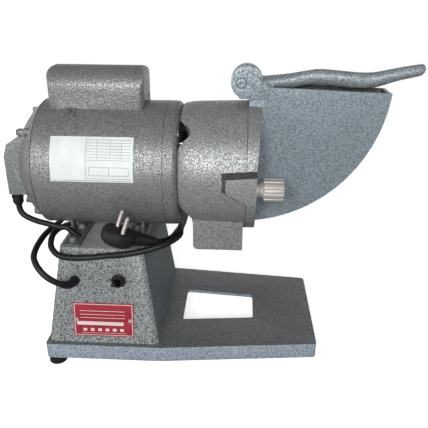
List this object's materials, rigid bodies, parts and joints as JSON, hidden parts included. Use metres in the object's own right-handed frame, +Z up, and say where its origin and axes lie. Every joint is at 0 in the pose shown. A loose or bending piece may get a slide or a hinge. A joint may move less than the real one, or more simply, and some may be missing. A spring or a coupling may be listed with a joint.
{
  "type": "bench-top motorised food grater",
  "caption": "Motor-driven grating disc in a round housing on a cast pedestal, fed by a hand lever and pusher in a narrow quarter-circle hopper.",
  "frame": {"origin": "middle of the bounding box of the machine without its cord, on the table under the feet", "axes": "+X from the motor to the hopper and lever, +Z up, the motor axis along X over the origin line"},
  "size_m": [0.4526, 0.2058, 0.3403],
  "materials": {
    "grey_paint": "hammertone, glossy",
    "blue_grey_paint": "hammertone, glossy",
    "base_paint": "hammertone, glossy",
    "black_steel": "satin",
    "zinc_steel": "zinc plated",
    "bright_steel": "ground",
    "disc_steel": "stainless, punched",
    "iron": "laminated",
    "cast_aluminium": "as cast",
    "knob_metal": "nickel, satin",
    "copper_wire": "enamelled copper",
    "label_white": "printed film",
    "rating_red": "anodised",
    "black_rubber": "matte",
    "black_plastic": "moulded"
  },
  "bodies": {
    "stand": {"base_casting": "base_paint", "rubber_feet": "black_rubber", "foot_screws": "zinc_steel", "motor_cradle": "base_paint", "cradle_bolts": "zinc_steel", "motor_shell": "grey_paint", "stator_core": "iron", "windings": "copper_wire", "front_end_shield": "grey_paint", "rear_end_shield": "grey_paint", "through_bolts": "zinc_steel", "front_bearing": "bright_steel", "rear_bearing": "bright_steel", "terminal_cover": "grey_paint", "terminal_screws": "zinc_steel", "cable_gland": "black_plastic", "capacitor_cover": "grey_paint", "capacitor": "black_plastic", "capacitor_screws": "zinc_steel", "motor_label": "label_white", "shaft_seal": "black_rubber", "grater_housing": "grey_paint", "housing_bolts": "zinc_steel", "hopper": "blue_grey_paint", "hinge_pin": "bright_steel", "pin_clip": "bright_steel", "studs": "zinc_steel", "switch_body": "black_plastic", "switch_nut": "black_plastic", "rating_plate": "rating_red", "plate_rivets": "knob_metal", "cord_grommet": "black_rubber", "motor_lead": "black_rubber", "supply_cord": "black_rubber", "plug_body": "black_rubber", "plug_pins": "zinc_steel"},
    "lever_arm": {"lever": "blue_grey_paint", "pusher_plate": "cast_aluminium", "pusher_screws": "zinc_steel"},
    "rotor": {"motor_shaft": "bright_steel", "rotor_core": "iron", "cooling_fan": "black_plastic", "start_switch": "black_plastic", "disc_hub": "bright_steel", "grating_disc": "disc_steel", "disc_screws": "zinc_steel"},
    "front_washer": {"front_washer": "zinc_steel"},
    "front_knob": {"front_knob": "knob_metal"},
    "rear_washer": {"rear_washer": "zinc_steel"},
    "rear_knob": {"rear_knob": "knob_metal"},
    "switch_bat": {"switch_bat": "black_plastic"}
  },
  "joints": [
    {"name": "lever_hinge", "type": "hinge", "parent": "stand", "child": "lever_arm", "pos_m": [0.03035, 0, 0.3205], "axis": [0, -1, 0], "range_deg": [0, 120]},
    {"name": "rotor_spin", "type": "hinge", "parent": "stand", "child": "rotor", "pos_m": [0, 0, 0.2245], "axis": [1, 0, 0], "continuous": true},
    {"name": "front_knob_travel", "type": "slide", "parent": "stand", "child": "front_washer", "axis": [1, 0, 0], "range_m": [0, 0.006]},
    {"name": "front_knob_turn", "type": "hinge", "parent": "front_washer", "child": "front_knob", "pos_m": [0.04905, -0.07, 0.2195], "axis": [1, 0, 0], "range_deg": [0, 1440]},
    {"name": "rear_knob_travel", "type": "slide", "parent": "stand", "child": "rear_washer", "axis": [1, 0, 0], "range_m": [0, 0.006]},
    {"name": "rear_knob_turn", "type": "hinge", "parent": "rear_washer", "child": "rear_knob", "pos_m": [0.04905, 0.07, 0.2195], "axis": [1, 0, 0], "range_deg": [0, 1440]},
    {"name": "switch_tilt", "type": "hinge", "parent": "stand", "child": "switch_bat", "pos_m": [-0.10175, -0.07915, 0.1103], "axis": [0, 0.1109, 0.9938], "range_deg": [0, 26]}
  ],
  "couplings": [
    {"joint": "front_knob_turn", "follows": "front_knob_travel", "rad_per_m": 4188.8},
    {"joint": "rear_knob_turn", "follows": "rear_knob_travel", "rad_per_m": 4188.8}
  ]
}
